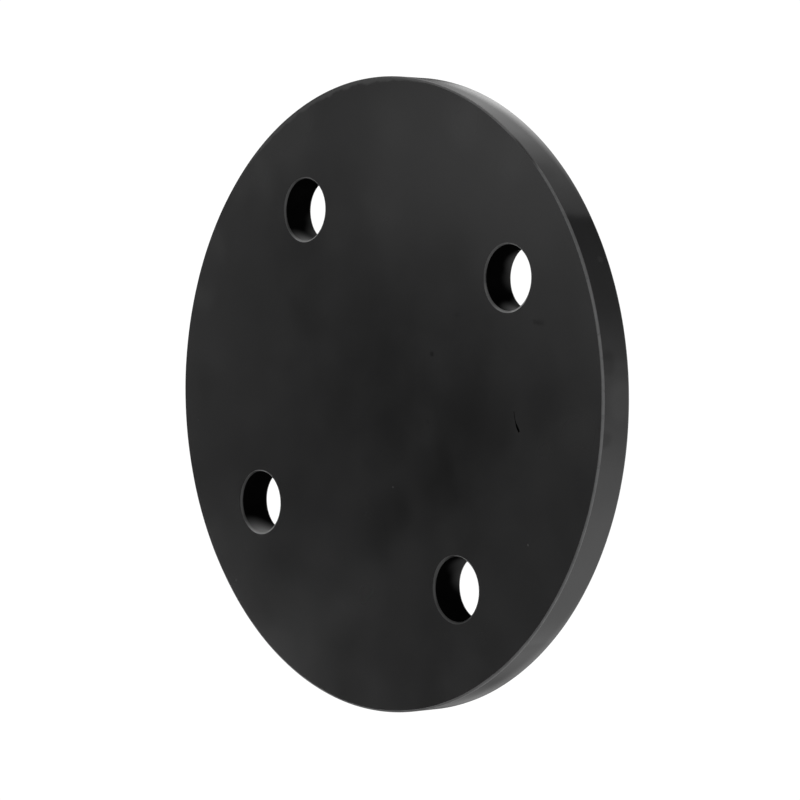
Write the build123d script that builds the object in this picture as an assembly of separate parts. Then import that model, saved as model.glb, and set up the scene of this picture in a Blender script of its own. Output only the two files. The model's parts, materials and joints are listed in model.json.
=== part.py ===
from build123d import *

import os

# A blind flange: one round steel plate that closes the end of a flanged pipe.
# It is cut and turned from flat plate, drilled for its bolts and deburred.
# It has no bore, no hub and no raised face, so both faces are flat and alike.
# The origin is the centre of the back face and +Z runs out of the front face.

# Driving dimensions in millimetres
outer_diameter = 180.0
plate_thickness = 10.0
bolt_circle_diameter = 125.0
bolt_hole_diameter = 18.0
rim_edge_break = 0.6
hole_edge_break = 0.5

# Number of bolt holes, equally spaced round the bolt circle
bolt_count = 4

# How far a cutting shape runs past the faces it cuts
cutter_overrun = 2.0


def turned_disc():
    """The plate before drilling, turned round its axis with both rim edges broken."""
    rim_radius = outer_diameter / 2
    face_radius = rim_radius - rim_edge_break
    half_section = Polyline(
        (0, 0, 0),
        (face_radius, 0, 0),
        (rim_radius, 0, rim_edge_break),
        (rim_radius, 0, plate_thickness - rim_edge_break),
        (face_radius, 0, plate_thickness),
        (0, 0, plate_thickness),
        close=True,
    )
    return revolve(make_face(half_section), Axis.Z)


def bolt_hole_cutter():
    """What drilling and countersinking take out of the plate for one bolt, on the Z axis."""
    hole_radius = bolt_hole_diameter / 2
    cutter_mouth_radius = hole_radius + hole_edge_break + cutter_overrun
    half_section = Polyline(
        (0, 0, -cutter_overrun),
        (cutter_mouth_radius, 0, -cutter_overrun),
        (hole_radius, 0, hole_edge_break),
        (hole_radius, 0, plate_thickness - hole_edge_break),
        (cutter_mouth_radius, 0, plate_thickness + cutter_overrun),
        (0, 0, plate_thickness + cutter_overrun),
        close=True,
    )
    return revolve(make_face(half_section), Axis.Z)


def drilled_plate():
    """The finished plate. Its bolt holes straddle the X and Y centre lines, as on a pipe flange."""
    half_pitch_angle = 180 / bolt_count
    bolt_places = PolarLocations(bolt_circle_diameter / 2, bolt_count, half_pitch_angle)
    cutter = bolt_hole_cutter()
    return turned_disc() - [place * cutter for place in bolt_places]


os.makedirs("parts", exist_ok=True)
export_step(drilled_plate(), "parts/flange_plate.step")
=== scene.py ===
import json
import math
import bpy
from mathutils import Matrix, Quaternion, Vector


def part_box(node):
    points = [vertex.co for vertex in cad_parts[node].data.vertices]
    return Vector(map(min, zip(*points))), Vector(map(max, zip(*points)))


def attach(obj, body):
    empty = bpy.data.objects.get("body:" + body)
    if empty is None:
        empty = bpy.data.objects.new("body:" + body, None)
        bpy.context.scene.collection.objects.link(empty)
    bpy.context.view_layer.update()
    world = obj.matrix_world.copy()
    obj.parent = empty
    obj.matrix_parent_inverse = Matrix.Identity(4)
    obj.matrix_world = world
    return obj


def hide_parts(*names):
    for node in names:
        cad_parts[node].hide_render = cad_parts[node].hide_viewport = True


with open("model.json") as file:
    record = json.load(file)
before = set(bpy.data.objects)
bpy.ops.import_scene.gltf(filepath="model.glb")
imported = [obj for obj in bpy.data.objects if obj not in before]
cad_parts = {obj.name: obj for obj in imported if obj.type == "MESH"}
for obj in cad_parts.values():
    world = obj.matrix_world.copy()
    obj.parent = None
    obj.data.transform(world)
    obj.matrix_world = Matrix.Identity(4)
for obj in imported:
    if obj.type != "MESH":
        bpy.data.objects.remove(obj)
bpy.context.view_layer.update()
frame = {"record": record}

# Turned plate
# One round of flat steel plate, cut out and turned on its rim. It closes the end of a pipe,
# so it has no bore of its own, and its two faces are flat and alike.
plate_low, plate_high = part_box("flange_plate")
plate_thickness = plate_high.z - plate_low.z
rim_radius = plate_high.x
rim_segments = 480

bpy.ops.object.select_all(action="DESELECT")
bpy.ops.mesh.primitive_cylinder_add(
    vertices=rim_segments,
    radius=rim_radius,
    depth=plate_thickness,
    end_fill_type="NGON",
    location=(0, 0, plate_low.z + plate_thickness / 2),
)
plate = bpy.context.object
plate.name = "blind_flange"
plate.data.name = "blind_flange"
bpy.ops.object.transform_apply(location=True, rotation=True, scale=True)

# Bolt holes
# Drilled right through on one bolt circle, with the holes on either side of the centre lines.
# The drill leaves a plain round bore from face to face.
millimetre = 0.001
bolt_pattern = next(m for m in frame["record"]["mounts"] if m["kind"] == "bolt_pattern")
bolt_count = bolt_pattern["dims"]["count"]
bolt_circle_radius = bolt_pattern["dims"]["pcd_mm"] / 2 * millimetre
bore_radius = bolt_pattern["dims"]["hole_r_mm"] * millimetre
bore_segments = 144
drill_length = 3 * plate_thickness
bolt_angles = [math.pi * (2 * n + 1) / bolt_count for n in range(bolt_count)]
bolt_centres = [
    Vector((bolt_circle_radius * math.cos(a), bolt_circle_radius * math.sin(a), 0))
    for a in bolt_angles
]


def cut_away(piece, cutter):
    """Takes the cutter's shape out of the piece and throws the cutter away."""
    bpy.ops.object.select_all(action="DESELECT")
    bpy.context.view_layer.objects.active = piece
    cut = piece.modifiers.new("cut", "BOOLEAN")
    cut.operation = "DIFFERENCE"
    cut.solver = "EXACT"
    cut.object = cutter
    bpy.ops.object.modifier_apply(modifier=cut.name)
    bpy.data.objects.remove(cutter)


for centre in bolt_centres:
    bpy.ops.object.select_all(action="DESELECT")
    bpy.ops.mesh.primitive_cylinder_add(
        vertices=bore_segments,
        radius=bore_radius,
        depth=drill_length,
        location=(centre.x, centre.y, plate_thickness / 2),
    )
    cut_away(plate, bpy.context.object)

# Scratch
# A short curved scratch gouged through the finish between two of the holes. It starts as a
# hair line and ends in a blunt dig, where whatever struck the face lifted off.
scratch_line = [
    # x, y and cutting radius in millimetres
    (9.6, -55.2, 0.12),
    (8.6, -55.6, 0.13),
    (7.4, -56.2, 0.14),
    (6.6, -56.75, 0.24),
    (6.0, -57.2, 0.42),
    (5.3, -57.9, 0.46),
    (4.7, -58.5, 0.40),
]
# how much of its cutting radius goes into the face
scratch_sink = 0.4
scratch_depth = max(radius for x, y, radius in scratch_line) * millimetre * scratch_sink
gouge_roundness = 4
weld_distance = 0.001 * millimetre

bpy.ops.object.select_all(action="DESELECT")
bpy.ops.curve.primitive_nurbs_path_add(location=(0, 0, 0))
gouge = bpy.context.object
gouge.data.splines.clear()
path = gouge.data.splines.new("POLY")
path.points.add(len(scratch_line) - 1)
for point, (x, y, radius) in zip(path.points, scratch_line):
    height = plate_high.z + radius * millimetre * (1 - scratch_sink)
    point.co = (x * millimetre, y * millimetre, height, 1)
    point.radius = radius
gouge.data.bevel_depth = millimetre
gouge.data.bevel_resolution = gouge_roundness
gouge.data.use_fill_caps = True
bpy.ops.object.convert(target="MESH")
gouge = bpy.context.object
bpy.ops.object.mode_set(mode="EDIT")
bpy.ops.mesh.select_all(action="SELECT")
bpy.ops.mesh.remove_doubles(threshold=weld_distance)
bpy.ops.mesh.normals_make_consistent(inside=False)
bpy.ops.object.mode_set(mode="OBJECT")
cut_away(plate, gouge)

# Broken edges
# The sharp corners left by turning and drilling are taken off by hand with a file, so the
# small round along each rim and each hole mouth is a little wider in some places.
edge_break = 0.62 * millimetre
edge_round_segments = 5
sharp_corner = math.radians(60)
near_rim = 0.99 * rim_radius
near_bore = 1.05 * bore_radius
usual_share = 0.90
file_waves = [
    # waves round the plate, share of the full width and start in radians
    (5, 0.07, 1.1),
    (13, 0.05, 0.4),
    (31, 0.03, 0.0),
]

weights = plate.data.attributes.new("bevel_weight_edge", "FLOAT", "EDGE")
face_normals = {}
for polygon in plate.data.polygons:
    for key in polygon.edge_keys:
        face_normals.setdefault(key, []).append(polygon.normal.copy())
for edge in plate.data.edges:
    first, second = face_normals[edge.key]
    edge_start, edge_end = (plate.data.vertices[index].co for index in edge.vertices)
    middle = (edge_start + edge_end) / 2
    off_axis = math.hypot(middle.x, middle.y)
    off_hole = min((middle - centre).xy.length for centre in bolt_centres)
    on_a_corner = off_axis > near_rim or off_hole < near_bore
    if first.angle(second) < sharp_corner or not on_a_corner:
        continue
    turn = math.atan2(middle.y, middle.x)
    hand = sum(share * math.sin(count * turn + start) for count, share, start in file_waves)
    weights.data[edge.index].value = usual_share + hand

bpy.context.view_layer.objects.active = plate
bevel = plate.modifiers.new("broken_edges", "BEVEL")
bevel.limit_method = "WEIGHT"
bevel.width = edge_break
bevel.segments = edge_round_segments
bevel.use_clamp_overlap = False
bpy.ops.object.modifier_apply(modifier=bevel.name)

# Flat faces
# Both faces carry a thin satin black finish. It lies in soft clouds where it was wiped on, has
# a faint orange peel, and is rubbed to grey where hands and the file went over the corners.
# Lighter and darker patches laid over it are painted reflection and painted shade, and the grey
# band inside the rim is widened on one side as a painted highlight.


def feed(tree, value, socket):
    """Sets a socket to a number or a vector, or links another socket to it."""
    if isinstance(value, bpy.types.NodeSocket):
        tree.links.new(value, socket)
    else:
        socket.default_value = value


def maths(tree, operation, *values):
    """One Math node on numbers and sockets. Gives its output socket."""
    node = tree.nodes.new("ShaderNodeMath")
    node.operation = operation
    for value, socket in zip(values, node.inputs):
        feed(tree, value, socket)
    return node.outputs[0]


def vector_maths(tree, operation, *values):
    """One Vector Math node on vectors and sockets. Gives the node."""
    node = tree.nodes.new("ShaderNodeVectorMath")
    node.operation = operation
    for value, socket in zip(values, node.inputs):
        feed(tree, value, socket)
    return node


def weighted_sum(tree, *parts):
    """Adds up sockets, each times its weight. Gives the output socket."""
    (socket, weight), *others = parts
    added = maths(tree, "MULTIPLY", socket, weight)
    for socket, weight in others:
        added = maths(tree, "ADD", added, maths(tree, "MULTIPLY", socket, weight))
    return added


def diagonal(tree, first, second):
    """How long two distances at right angles are together. Gives the output socket."""
    squares = [maths(tree, "MULTIPLY", side, side) for side in (first, second)]
    return maths(tree, "SQRT", maths(tree, "ADD", *squares))


def swing(tree, noise_value, amount):
    """How far a noise value is off its middle, times the amount."""
    return maths(tree, "MULTIPLY", maths(tree, "SUBTRACT", noise_value, 0.5), amount)


def fade(tree, value, start, end, low=0.0, high=1.0):
    """A soft ramp from low to high while the value goes from start to end."""
    node = tree.nodes.new("ShaderNodeMapRange")
    node.interpolation_type = "SMOOTHSTEP"
    feed(tree, value, node.inputs["Value"])
    feed(tree, start, node.inputs["From Min"])
    feed(tree, end, node.inputs["From Max"])
    feed(tree, low, node.inputs["To Min"])
    feed(tree, high, node.inputs["To Max"])
    return node.outputs["Result"]


def place_on_piece(tree):
    """The place on the piece, in object space. Gives its socket."""
    return tree.nodes.new("ShaderNodeTexCoord").outputs["Object"]


def split_place(tree):
    """The place on the piece as three sockets: x, y and z."""
    split = tree.nodes.new("ShaderNodeSeparateXYZ")
    tree.links.new(place_on_piece(tree), split.inputs[0])
    return split.outputs["X"], split.outputs["Y"], split.outputs["Z"]


def towards(tree, side):
    """How far out towards one side a place is: 1 on the rim at that side, 0 on the axis."""
    share = vector_maths(tree, "DOT_PRODUCT", place_on_piece(tree), side / rim_radius)
    return share.outputs["Value"]


def noise(tree, scale, detail=2.0, shift=(0, 0, 0), across=1.0):
    """Noise over the piece, moved along by the shift. Gives a value about 0.5.

    An across below 1 draws the noise out level, so that it lies in fine rings."""
    moved = tree.nodes.new("ShaderNodeMapping")
    moved.inputs["Location"].default_value = shift
    moved.inputs["Scale"].default_value = (across, across, 1)
    grain = tree.nodes.new("ShaderNodeTexNoise")
    grain.inputs["Detail"].default_value = detail
    feed(tree, scale, grain.inputs["Scale"])
    tree.links.new(place_on_piece(tree), moved.inputs["Vector"])
    tree.links.new(moved.outputs["Vector"], grain.inputs["Vector"])
    return grain.outputs["Fac"]


def new_group(name, inputs, outputs):
    """A shader node group with number sockets, ready to be filled with nodes."""
    group = bpy.data.node_groups.new(name, "ShaderNodeTree")
    for label, value in inputs:
        socket = group.interface.new_socket(label, in_out="INPUT", socket_type="NodeSocketFloat")
        socket.default_value = value
    for label in outputs:
        group.interface.new_socket(label, in_out="OUTPUT", socket_type="NodeSocketFloat")
    return group, group.nodes.new("NodeGroupInput"), group.nodes.new("NodeGroupOutput")


def place_group(tree, group, **values):
    """Puts a node group into a material and sets its values."""
    node = tree.nodes.new("ShaderNodeGroup")
    node.node_tree = group
    for label, value in values.items():
        node.inputs[label.replace("_", " ")].default_value = value
    return node


clouds, given, result = new_group("wiped_clouds", [("Scale", 30.0), ("Contrast", 1.0)], ["Mask"])
broad = noise(clouds, given.outputs["Scale"], detail=1.5, shift=(0.31, 0.12, 0.5))
fine_scale = maths(clouds, "MULTIPLY", given.outputs["Scale"], 3.3)
fine = noise(clouds, fine_scale, detail=2.5, shift=(0.05, 0.43, 0.2))
both = weighted_sum(clouds, (broad, 0.68), (fine, 0.32))
contrasted = swing(clouds, both, given.outputs["Contrast"])
clouds.links.new(maths(clouds, "ADD", contrasted, 0.5), result.inputs["Mask"])

peel, given, result = new_group("orange_peel", [("Scale", 900.0)], ["Height", "Mask"])
bumps = noise(peel, given.outputs["Scale"], detail=1.0)
dust_scale = maths(peel, "MULTIPLY", given.outputs["Scale"], 4.0)
dust = noise(peel, dust_scale, detail=1.0)
peel.links.new(weighted_sum(peel, (bumps, 0.8), (dust, 0.2)), result.inputs["Height"])
peel.links.new(dust, result.inputs["Mask"])

rub, given, result = new_group(
    "rubbed_corner",
    [("Rim Reach", 0.6 * millimetre), ("Hole Reach", 0.6 * millimetre), ("Ragged", 0.5)],
    ["Rim", "Hole"],
)
x, y, z = split_place(rub)
from_face = maths(rub, "MINIMUM", z, maths(rub, "SUBTRACT", plate_thickness, z))
from_rim = maths(rub, "SUBTRACT", diagonal(rub, x, y), rim_radius)
rim_corner = diagonal(rub, from_rim, from_face)
# every hole stands as far from one centre line as from the other
hole_place = abs(bolt_centres[0].x)
off_in_x = maths(rub, "SUBTRACT", maths(rub, "ABSOLUTE", x), hole_place)
off_in_y = maths(rub, "SUBTRACT", maths(rub, "ABSOLUTE", y), hole_place)
from_bore = maths(rub, "SUBTRACT", diagonal(rub, off_in_x, off_in_y), bore_radius)
hole_corner = diagonal(rub, from_bore, from_face)
uneven = swing(rub, noise(rub, 260.0, detail=3.0), given.outputs["Ragged"])
reach_share = maths(rub, "ADD", uneven, 1.0)
bare_share = 0.45
for label, away in (("Rim", rim_corner), ("Hole", hole_corner)):
    reach_here = maths(rub, "MULTIPLY", given.outputs[label + " Reach"], reach_share)
    bare_here = maths(rub, "MULTIPLY", reach_here, bare_share)
    rub.links.new(fade(rub, away, reach_here, bare_here), result.inputs[label])

specks, given, result = new_group("dust_specks", [("Scale", 90.0), ("Size", 0.05)], ["Mask"])
cells = specks.nodes.new("ShaderNodeTexVoronoi")
specks.links.new(place_on_piece(specks), cells.inputs["Vector"])
specks.links.new(given.outputs["Scale"], cells.inputs["Scale"])
tint = specks.nodes.new("ShaderNodeSeparateColor")
specks.links.new(cells.outputs["Color"], tint.inputs["Color"])
clean_share = 0.72
smallest_speck = 0.4
speck_core = 0.4
chosen = maths(specks, "GREATER_THAN", tint.outputs["Red"], clean_share)
size_share = maths(specks, "ADD", tint.outputs["Green"], smallest_speck)
size_here = maths(specks, "MULTIPLY", given.outputs["Size"], size_share)
core_here = maths(specks, "MULTIPLY", size_here, speck_core)
speck = fade(specks, cells.outputs["Distance"], size_here, core_here)
specks.links.new(maths(specks, "MULTIPLY", speck, chosen), result.inputs["Mask"])


def tones(tree, mask, low, high):
    """Mixes two tones by a mask. A tone is a grey, a colour or a socket. Gives the mixed tone."""
    mix = tree.nodes.new("ShaderNodeMix")
    mix.data_type = "RGBA"
    tree.links.new(mask, mix.inputs["Factor"])
    # the sockets for colours come after those for numbers and vectors
    colour_a, colour_b, mixed = mix.inputs[6], mix.inputs[7], mix.outputs[2]
    for tone, socket in ((low, colour_a), (high, colour_b)):
        if isinstance(tone, float):
            tone = (tone, tone, tone)
        if isinstance(tone, tuple):
            tone = (*tone, 1)
        feed(tree, tone, socket)
    return mixed


def add_marks(tree, coat, marks, core=0.33, wander=0.0):
    """Lays soft round marks over a coat's tone, one by one. Gives the tone.

    The core is the share of a mark's half width that is full, and the wander is how far its
    outline strays, in metres."""
    where = place_on_piece(tree)
    if wander:
        swirl = tree.nodes.new("ShaderNodeTexNoise")
        swirl.inputs["Scale"].default_value = 60.0
        swirl.inputs["Detail"].default_value = 1.0
        tree.links.new(where, swirl.inputs["Vector"])
        centred = vector_maths(tree, "SUBTRACT", swirl.outputs["Color"], (0.5, 0.5, 0.5))
        level_wander = (wander, wander, 0)
        strayed = vector_maths(
            tree, "MULTIPLY_ADD", centred.outputs["Vector"], level_wander, where
        )
        where = strayed.outputs["Vector"]
    for x, y, z, half_width, tone in marks:
        away = vector_maths(tree, "DISTANCE", where, Vector((x, y, z)) * millimetre)
        reach = half_width * millimetre
        spot = fade(tree, away.outputs["Value"], reach, core * reach)
        coat = tones(tree, spot, coat, tone)
    return coat


coat_ior = 1.5


def new_finish(name):
    """A material of one Principled shader. Gives the material, its node tree and the shader."""
    material = bpy.data.materials.new(name)
    material.use_nodes = True
    shader = material.node_tree.nodes["Principled BSDF"]
    shader.inputs["IOR"].default_value = coat_ior
    return material, material.node_tree, shader


def cloudy_gloss(tree, cloud, smoothest, roughest):
    """A roughness that goes from the smoothest to the roughest with the clouds."""
    return fade(tree, cloud.outputs["Mask"], 0.1, 0.9, smoothest, roughest)


def relief(tree, height, micrometres=1.0):
    """A Bump node that raises the surface by the height times so many micrometres."""
    bump = tree.nodes.new("ShaderNodeBump")
    bump.inputs["Strength"].default_value = 1.0
    bump.inputs["Distance"].default_value = micrometres * millimetre / 1000
    tree.links.new(height, bump.inputs["Height"])
    return bump.outputs["Normal"]


painted_face_light_patches = [
    # x, y, z and half width in millimetres, and tone: painted reflection and painted shade in the
    # coat
    (52.0, 71.0, 10, 16, 0.027),
    (62.0, 60.0, 10, 14, 0.024),
    (71.0, 52.0, 10, 14, 0.024),
    (74.0, 12.0, 10, 17, 0.018),
    (83.0, -20.0, 10, 13, 0.022),
    (75.0, -38.0, 10, 14, 0.021),
    (50.0, 9.0, 10, 17, 0.020),
    (58.0, 29.0, 10, 9, 0.009),
    (38.0, 29.0, 10, 13, 0.018),
    (46.0, -21.0, 10, 16, 0.005),
    (15.5, 37.0, 10, 15, 0.006),
    (24.0, 16.0, 10, 12, 0.011),
    (-9.0, 16.0, 10, 14, 0.011),
    (3.0, -38.0, 10, 18, 0.006),
    (4.0, -51.0, 10, 12, 0.007),
    (2.0, -68.0, 10, 16, 0.019),
    (11.0, -80.0, 10, 14, 0.020),
    (-33.0, -38.0, 10, 13, 0.018),
    (-15.0, -31.0, 10, 14, 0.004),
    (-36.0, -10.0, 10, 16, 0.003),
    (-29.0, -20.0, 10, 13, 0.003),
    (-57.0, -8.0, 10, 15, 0.021),
    (-66.0, 18.0, 10, 13, 0.018),
    (-62.0, -27.0, 10, 15, 0.017),
    (-54.0, -59.0, 10, 14, 0.007),
    (-80.0, 0.0, 10, 17, 0.002),
    (-76.0, 34.0, 10, 18, 0.002),
    (-20.0, 78.0, 10, 14, 0.006),
    (50.0, -68.0, 10, 20, 0.005),
    (66.0, 60.0, 10, 13, 0.022),
    (9.8, 87.7, 10, 9, 0.020),
    (26.0, 84.4, 10, 9, 0.020),
    (46.8, 75.0, 10, 9, 0.021),
]
face_marks = [
    # x, y, z and half width in millimetres, and tone from black to pale
    (16.7, -19.4, 10, 1.0, 0.0005),
    (35.0, -57.4, 10, 0.9, 0.0010),
    (35.2, -58.9, 10, 1.1, 0.0005),
    (35.4, -60.4, 10, 0.9, 0.0010),
    (29.6, -26.9, 10, 0.8, 0.0020),
    (-2.1, -22.2, 10, 0.7, 0.0040),
    (-23.8, -12.2, 10, 0.35, 0.060),
    (-24.0, -69.0, 10, 0.40, 0.060),
]
thick_coat = (0.008, 0.008, 0.0082)
thin_coat = (0.016, 0.016, 0.0162)
speck_tone = 0.05
rim_wear_and_highlight_tone = 0.058
rubbed_hole_tone = 0.035
# the grey band inside the rim widens towards this side: a painted highlight over real wear
painted_highlight_side = Vector((0.870, 0.493, 0))
usual_reach = 0.6 * millimetre
painted_highlight_reach = 2.0 * millimetre
face_finish, tree, shader = new_finish("satin_black_face")
cloud = place_group(tree, clouds, Scale=34.0, Contrast=1.6)
grain = place_group(tree, peel, Scale=800.0)
corner = place_group(tree, rub, Ragged=1.5)
dust = place_group(tree, specks, Scale=75.0, Size=0.022)
coat = tones(tree, cloud.outputs["Mask"], thick_coat, thin_coat)
# lays the painted reflection and painted shade patches over the coat
with_painted_face_light = add_marks(tree, coat, painted_face_light_patches, core=0.0, wander=0.014)
marked = add_marks(tree, with_painted_face_light, face_marks, core=0.5)
dusted = tones(tree, dust.outputs["Mask"], marked, speck_tone)
# the band is widest towards one side, as a painted highlight
rub_and_highlight_reach = fade(tree, towards(tree, painted_highlight_side), 0.84, 0.97, usual_reach, painted_highlight_reach)
tree.links.new(rub_and_highlight_reach, corner.inputs["Rim Reach"])
at_rim = tones(tree, corner.outputs["Rim"], dusted, rim_wear_and_highlight_tone)
wear_and_painted_light = tones(tree, corner.outputs["Hole"], at_rim, rubbed_hole_tone)
tree.links.new(wear_and_painted_light, shader.inputs["Base Color"])
gloss = cloudy_gloss(tree, cloud, smoothest=0.215, roughest=0.265)
gloss_grain = swing(tree, grain.outputs["Mask"], 0.05)
tree.links.new(maths(tree, "ADD", gloss, gloss_grain), shader.inputs["Roughness"])
waves = noise(tree, 55.0, detail=1.0, shift=(0.7, 0.2, 0.1))
height = weighted_sum(tree, (waves, 20.0), (grain.outputs["Height"], 0.35))
tree.links.new(relief(tree, height), shader.inputs["Normal"])

# Turned rim
# The outside of the plate is turned in the lathe, which leaves very fine rings round it under
# the finish, and it is smoother than the faces. A painted pale sheen lies on it where it is seen
# at a slant, towards its back edge, on the side nearest the camera, near both ends of what is
# seen there and more at the upper end. Spots on it are painted shade and painted reflection.
painted_rim_light_spots = [
    # x, y, z and half width in millimetres, and tone: painted shade near the front and painted
    # reflection near the back
    (55.0, -71.3, 3.1, 1.4, 0.024),
    (75.0, -49.7, 7.5, 4.5, 0.004),
    (30.7, -84.6, 8.2, 4.5, 0.001),
    (21.0, -87.5, 2.5, 8.0, 0.030),
    (10.8, -89.4, 8.9, 3.5, 0.001),
]
thick_coat = (0.010, 0.010, 0.0102)
thin_coat = (0.018, 0.018, 0.0182)
rim_wear_and_highlight_tone = (0.06, 0.06, 0.061)
lower_painted_sheen_tone = 0.42
upper_painted_sheen_tone = 0.80
lower_painted_sheen_share = 0.40
camera_side = Vector((0.234, -0.972, 0))
upper_side = Vector((0.972, 0.234, 0))
rim_finish, tree, shader = new_finish("satin_black_rim")
cloud = place_group(tree, clouds, Scale=60.0, Contrast=1.4)
grain = place_group(tree, peel, Scale=1100.0)
corner = place_group(tree, rub, Ragged=0.7)
coat = tones(tree, cloud.outputs["Mask"], thick_coat, thin_coat)
# lays the painted shade and painted reflection spots on the rim
rim_with_painted_light = add_marks(tree, coat, painted_rim_light_spots, core=0.4, wander=0.004)
wear_and_painted_light = tones(tree, corner.outputs["Rim"], rim_with_painted_light, rim_wear_and_highlight_tone)
slant = tree.nodes.new("ShaderNodeLayerWeight")
slant.inputs["Blend"].default_value = 0.5
facing_away = slant.outputs["Facing"]
x, y, z = split_place(tree)
from_front = maths(tree, "SUBTRACT", 1.0, maths(tree, "DIVIDE", z, plate_thickness))
lean = maths(tree, "ADD", from_front, maths(tree, "MULTIPLY", facing_away, 1.6))
near_side = towards(tree, camera_side)
upper_end = towards(tree, upper_side)
# painted sheen: the rim is painted paler towards its back edge where it is seen at a slant
painted_sheen = fade(tree, lean, 1.55, 2.15)
for limit in (
    fade(tree, facing_away, 0.95, 0.84),
    fade(tree, near_side, 0.0, 0.12),
    fade(tree, maths(tree, "ABSOLUTE", upper_end), 0.45, 0.7),
    fade(tree, upper_end, -0.5, 0.5, lower_painted_sheen_share, 1.0),
):
    painted_sheen = maths(tree, "MULTIPLY", painted_sheen, limit)
painted_sheen_tone = tones(tree, fade(tree, upper_end, 0.6, 0.95), lower_painted_sheen_tone, upper_painted_sheen_tone)
tree.links.new(tones(tree, painted_sheen, wear_and_painted_light, painted_sheen_tone), shader.inputs["Base Color"])
gloss = cloudy_gloss(tree, cloud, smoothest=0.070, roughest=0.10)
tree.links.new(gloss, shader.inputs["Roughness"])
rings = noise(tree, 2600.0, across=0.02)
waves = noise(tree, 95.0, detail=1.0, shift=(0.2, 0.6, 0.4))
height = weighted_sum(tree, (rings, 1.2), (waves, 60.0), (grain.outputs["Height"], 0.4))
tree.links.new(relief(tree, height), shader.inputs["Normal"])

# Drilled bores
# Inside the holes the finish is thin and dull over the marks of the drill, and hardly any light
# comes back out: its colour is painted darker than the faces as painted shade. Pale patches on
# one side of them are painted glow.
painted_bore_glows = [
    # x, y, z and half width in millimetres, and tone: painted glow on the walls of the holes
    (36.2, 41.0, 8.0, 9.5, 0.34),
    (36.4, 47.5, 0.0, 5.5, 0.075),
    (38.8, 51.4, -1.0, 4.5, 0.030),
    (-52.8, 41.0, 8.0, 10.5, 0.40),
    (35.8, -45.8, 4.0, 7.0, 0.23),
    (35.8, -41.5, -0.5, 4.5, 0.06),
    (42.0, -35.4, -1.0, 5.5, 0.040),
    (47.0, -35.6, -1.0, 5.5, 0.065),
    (-38.2, -37.0, 1.0, 7.0, 0.045),
    (-43.5, -35.4, -1.0, 6.0, 0.050),
]
# darker than the faces: painted shade in the holes over their real dull finish
thick_coat = 0.0012
thin_coat = 0.003
rubbed_hole_tone = 0.02
bore_finish, tree, shader = new_finish("dull_black_bore")
cloud = place_group(tree, clouds, Scale=160.0, Contrast=1.6)
corner = place_group(tree, rub, Ragged=0.7)
coat = tones(tree, cloud.outputs["Mask"], thick_coat, thin_coat)
# lays the painted glow on one side of each bore
bore_with_painted_glow = add_marks(tree, coat, painted_bore_glows, core=0.1)
wear_and_painted_light = tones(tree, corner.outputs["Hole"], bore_with_painted_glow, rubbed_hole_tone)
tree.links.new(wear_and_painted_light, shader.inputs["Base Color"])
gloss = cloudy_gloss(tree, cloud, smoothest=0.55, roughest=0.7)
tree.links.new(gloss, shader.inputs["Roughness"])
shader.inputs["Specular IOR Level"].default_value = 0.0
rings = noise(tree, 1800.0, across=0.08)
tree.links.new(relief(tree, rings, micrometres=4.0), shader.inputs["Normal"])

# Painted highlight on the rim corners
# Along the broken edges of the rim a grey line is painted on the side nearest the camera as a
# painted highlight, a little stronger here and weaker there, and left dark at one spot.
highlight_free_spots = [
    # x, y, z and half width in millimetres, and tone: a spot left without the painted highlight
    (79.0, -43.0, 10, 9.0, 0.03),
]
plain_corner_tone = 0.012
dimmest_painted_highlight = (0.095, 0.095, 0.096)
brightest_painted_highlight = (0.145, 0.145, 0.146)
painted_highlight_finish, tree, shader = new_finish("painted_highlight_corner")
cloud = place_group(tree, clouds, Scale=200.0, Contrast=1.8)
# painted highlight: grey only on the side nearest the camera
painted_highlight_share = fade(tree, towards(tree, camera_side), -0.5, 0.2)
painted_highlight_tone = tones(tree, cloud.outputs["Mask"], dimmest_painted_highlight, brightest_painted_highlight)
wear_and_painted_light = tones(tree, painted_highlight_share, plain_corner_tone, painted_highlight_tone)
tree.links.new(add_marks(tree, wear_and_painted_light, highlight_free_spots), shader.inputs["Base Color"])
gloss = cloudy_gloss(tree, cloud, smoothest=0.26, roughest=0.36)
tree.links.new(gloss, shader.inputs["Roughness"])

# Hole mouths
# The countersink leaves a fine line round each mouth. The coat has filled most of it again. It
# is painted paler than the faces as a painted highlight, with patches of painted highlight and
# painted shade round the front mouths and painted glow at three back mouths.
painted_mouth_light_marks = [
    # x, y, z and half width in millimetres, and tone: painted highlight, painted shade and
    # painted glow
    (35.3, 40.5, 10, 9.5, 0.29),
    (53.0, 46.3, 10, 5.0, 0.018),
    (47.0, 52.8, 10, 5.0, 0.055),
    (36.5, 48.5, 0, 5.0, 0.30),
    (-53.0, 40.5, 10, 10.0, 0.29),
    (-35.0, 46.3, 10, 6.0, 0.008),
    (35.3, -47.5, 10, 9.5, 0.22),
    (37.7, -50.4, 10, 5.0, 0.40),
    (38.0, -37.7, 10, 4.5, 0.09),
    (50.0, -37.5, 10, 9.0, 0.075),
    (37.0, -39.0, 0, 5.5, 0.50),
    (-35.0, -42.0, 10, 6.0, 0.012),
    (-39.5, -36.5, 10, 5.5, 0.06),
    (-40.5, -36.0, 0, 5.5, 0.25),
]
# paler than the faces: painted highlight round the mouths
thick_coat = 0.025
thin_coat = 0.05
mouth_finish, tree, shader = new_finish("countersunk_mouth")
cloud = place_group(tree, clouds, Scale=220.0, Contrast=1.8)
coat = tones(tree, cloud.outputs["Mask"], thick_coat, thin_coat)
tree.links.new(add_marks(tree, coat, painted_mouth_light_marks), shader.inputs["Base Color"])
gloss = cloudy_gloss(tree, cloud, smoothest=0.34, roughest=0.44)
tree.links.new(gloss, shader.inputs["Roughness"])

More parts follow.
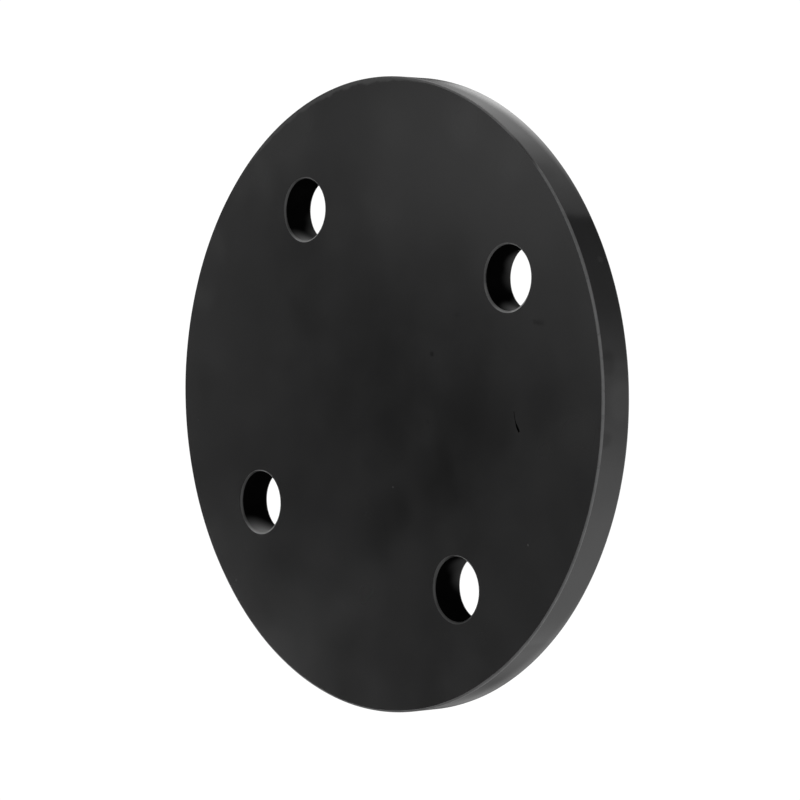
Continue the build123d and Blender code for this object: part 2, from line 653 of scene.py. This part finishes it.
# Finished plate
# Each zone of the one solid plate gets its own state of the same black finish, with the painted
# highlight, shade, glow and sheen laid in its colour. The shading is then evened out, so that
# the faces look flat right up to their broken edges.
level_normal = 0.9999
upright_normal = 0.01
scratch_zone_radius = rim_radius - 10 * millimetre
smooth_angle = math.radians(35)

finishes = [face_finish, rim_finish, bore_finish, painted_highlight_finish, mouth_finish]
for finish in finishes:
    plate.data.materials.append(finish)
for polygon in plate.data.polygons:
    middle = polygon.center
    upwards = abs(polygon.normal.z)
    off_axis = math.hypot(middle.x, middle.y)
    off_hole = min((middle - centre).xy.length for centre in bolt_centres)
    just_below_face = 0 < plate_high.z - middle.z < 2 * scratch_depth
    clear_of_edges = off_hole > 2 * bore_radius and off_axis < scratch_zone_radius
    if upwards > level_normal:
        finish = face_finish
    elif upwards < upright_normal:
        finish = rim_finish if off_axis > rim_radius - edge_break / 2 else bore_finish
    elif just_below_face and clear_of_edges:
        # the scratch is as dull and dark inside as the bores, with the same painted shade
        finish = bore_finish
    else:
        finish = painted_highlight_finish if off_axis > rim_radius - 2 * edge_break else mouth_finish
    polygon.material_index = finishes.index(finish)

bpy.ops.object.select_all(action="DESELECT")
plate.select_set(True)
bpy.context.view_layer.objects.active = plate
bpy.ops.object.shade_smooth_by_angle(angle=smooth_angle)
even = plate.modifiers.new("even_shading", "WEIGHTED_NORMAL")
even.mode = "FACE_AREA"
even.keep_sharp = True
bpy.ops.object.modifier_apply(modifier=even.name)

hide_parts("flange_plate")
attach(plate, "root")

# Floor
# A plain pale floor that the plate lies on. It only shows itself to the camera, and neither
# lights the plate nor takes its shadow.
floor_width = 12
floor_glow = 1.05

bpy.ops.mesh.primitive_plane_add(size=floor_width, location=(0, 0, 0))
floor = bpy.context.object
floor.name = "floor"
pale = bpy.data.materials.new("pale_floor")
pale.use_nodes = True
pale.node_tree.nodes.clear()
glow = pale.node_tree.nodes.new("ShaderNodeEmission")
glow.inputs["Strength"].default_value = floor_glow
surface = pale.node_tree.nodes.new("ShaderNodeOutputMaterial")
pale.node_tree.links.new(glow.outputs["Emission"], surface.inputs["Surface"])
floor.data.materials.append(pale)
floor.visible_diffuse = False
floor.visible_glossy = False
floor.visible_shadow = False

# Studio surround
# A dim room above with three soft lights in it, the strongest over the camera, and a ring of
# pale and dark screens low down all round the plate, which its rim mirrors.
screens = [
    # azimuth in degrees, brightness
    (-165, 0.08),
    (-152, 0.12),
    (-143, 0.35),
    (-133, 0.40),
    (-115, 0.36),
    (-95, 0.87),
    (-75, 1.03),
    (-55, 1.33),
    (-35, 1.49),
    (-15, 1.31),
    (2, 0.94),
    (8, 0.80),
    (25, 0.80),
    (27, 0.60),
    (45, 0.29),
    (65, 0.19),
    (81.4, 0.13),
    (82.4, 0.50),
    (105, 0.73),
    (125, 1.20),
    (145, 1.15),
    (163, 0.60),
    (180, 0.12),
]
brightest = max(brightness for azimuth, brightness in screens)
soft_lights = [
    # azimuth, elevation, full out to and gone at in degrees, and brightness
    (15, 48, 15, 50, 1.36),
    (110, 10, 10, 45, 0.74),
    (-70, 22, 10, 40, 0.70),
]
room_brightness = 0.075
screen_height = 0.14


def ramp_place(azimuth):
    """Where an azimuth in degrees stands on the radial ramp, which starts a quarter turn off."""
    return (azimuth + 90) / 360 % 1


def aimed(azimuth, elevation):
    """The unit vector from the plate towards an azimuth and elevation in degrees."""
    a, e = math.radians(azimuth), math.radians(elevation)
    return Vector((math.sin(a) * math.cos(e), -math.cos(a) * math.cos(e), math.sin(e)))


world = bpy.data.worlds.new("studio")
bpy.context.scene.world = world
world.use_nodes = True
sky = world.node_tree
sky.nodes.clear()
view = sky.nodes.new("ShaderNodeTexCoord").outputs["Generated"]
turn = sky.nodes.new("ShaderNodeTexGradient")
turn.gradient_type = "RADIAL"
sky.links.new(view, turn.inputs["Vector"])
ring = sky.nodes.new("ShaderNodeValToRGB")
stops = ring.color_ramp.elements
places = sorted((ramp_place(azimuth), brightness / brightest) for azimuth, brightness in screens)
stops[0].position = places[0][0]
stops[-1].position = places[-1][0]
for place, grey in places[1:-1]:
    stops.new(place)
for stop, (place, grey) in zip(stops, places):
    stop.position = place
    stop.color = (grey, grey, grey, 1)
sky.links.new(turn.outputs["Fac"], ring.inputs["Fac"])
rise = sky.nodes.new("ShaderNodeSeparateXYZ")
sky.links.new(view, rise.inputs[0])
low_down = fade(sky, rise.outputs["Z"], screen_height, -screen_height)
ring_light = maths(sky, "MULTIPLY", ring.outputs["Color"], brightest)
low_light = maths(sky, "MULTIPLY", ring_light, low_down)
high_up = maths(sky, "SUBTRACT", 1.0, low_down)
room_light = maths(sky, "MULTIPLY", high_up, room_brightness)
total = maths(sky, "ADD", low_light, room_light)
for azimuth, elevation, full, gone, brightness in soft_lights:
    nearness = vector_maths(sky, "DOT_PRODUCT", view, aimed(azimuth, elevation)).outputs["Value"]
    edge = math.cos(math.radians(gone))
    middle = math.cos(math.radians(full))
    total = maths(sky, "ADD", total, fade(sky, nearness, edge, middle, 0.0, brightness))
background = sky.nodes.new("ShaderNodeBackground")
sky.links.new(total, background.inputs["Strength"])
world_out = sky.nodes.new("ShaderNodeOutputWorld")
sky.links.new(background.outputs[0], world_out.inputs["Surface"])

# Soft boxes
# Four soft boxes stand behind the plate as the camera sees it, and the front face mirrors them.
# The gap between them leaves the dark band across the middle of the face.
soft_boxes = [
    # name, azimuth, elevation, distance, width, height, brightness
    ("box_upper", 156, 57, 0.50, 0.38, 0.28, 0.72),
    ("box_lower", 219, 17, 0.50, 0.23, 0.22, 3.10),
    ("box_small", 185, 24, 0.50, 0.22, 0.20, 0.32),
    ("box_side", 240, 70, 0.35, 0.30, 0.30, 0.17),
]
face_middle = Vector((0, 0, plate_thickness))
for name, azimuth, elevation, distance, width, height, brightness in soft_boxes:
    panel_data = bpy.data.lights.new(name, "AREA")
    panel_data.shape = "RECTANGLE"
    panel_data.size = width
    panel_data.size_y = height
    panel_data.energy = brightness * math.pi * width * height
    panel = bpy.data.objects.new(name, panel_data)
    bpy.context.scene.collection.objects.link(panel)
    panel.location = face_middle + aimed(azimuth, elevation) * distance
    panel.rotation_mode = "QUATERNION"
    panel.rotation_quaternion = (-aimed(azimuth, elevation)).to_track_quat("-Z", "Y")
    panel.visible_camera = False

# Camera
# It looks down on the plate from the front right, through a long lens, and is turned on its
# side, as the photo is.
camera_azimuth = 15.4
camera_elevation = 41.34
camera_roll = math.radians(-91.25)
camera_distance = 0.9021
aim = Vector((-0.00064, -0.00389, plate_thickness / 2))
back = aimed(camera_azimuth, camera_elevation)
camera_data = bpy.data.cameras.new("camera")
camera = bpy.data.objects.new("camera", camera_data)
bpy.context.scene.collection.objects.link(camera)
camera.location = aim + back * camera_distance
camera.rotation_mode = "QUATERNION"
upright = (-back).to_track_quat("-Z", "Y")
camera.rotation_quaternion = upright @ Quaternion((0, 0, 1), camera_roll)
camera_data.sensor_width = 36
camera_data.lens = 143.08
camera_data.clip_start = 0.01
bpy.context.scene.camera = camera

bpy.context.scene.view_settings.view_transform = "Standard"
bpy.context.scene.view_settings.look = "None"
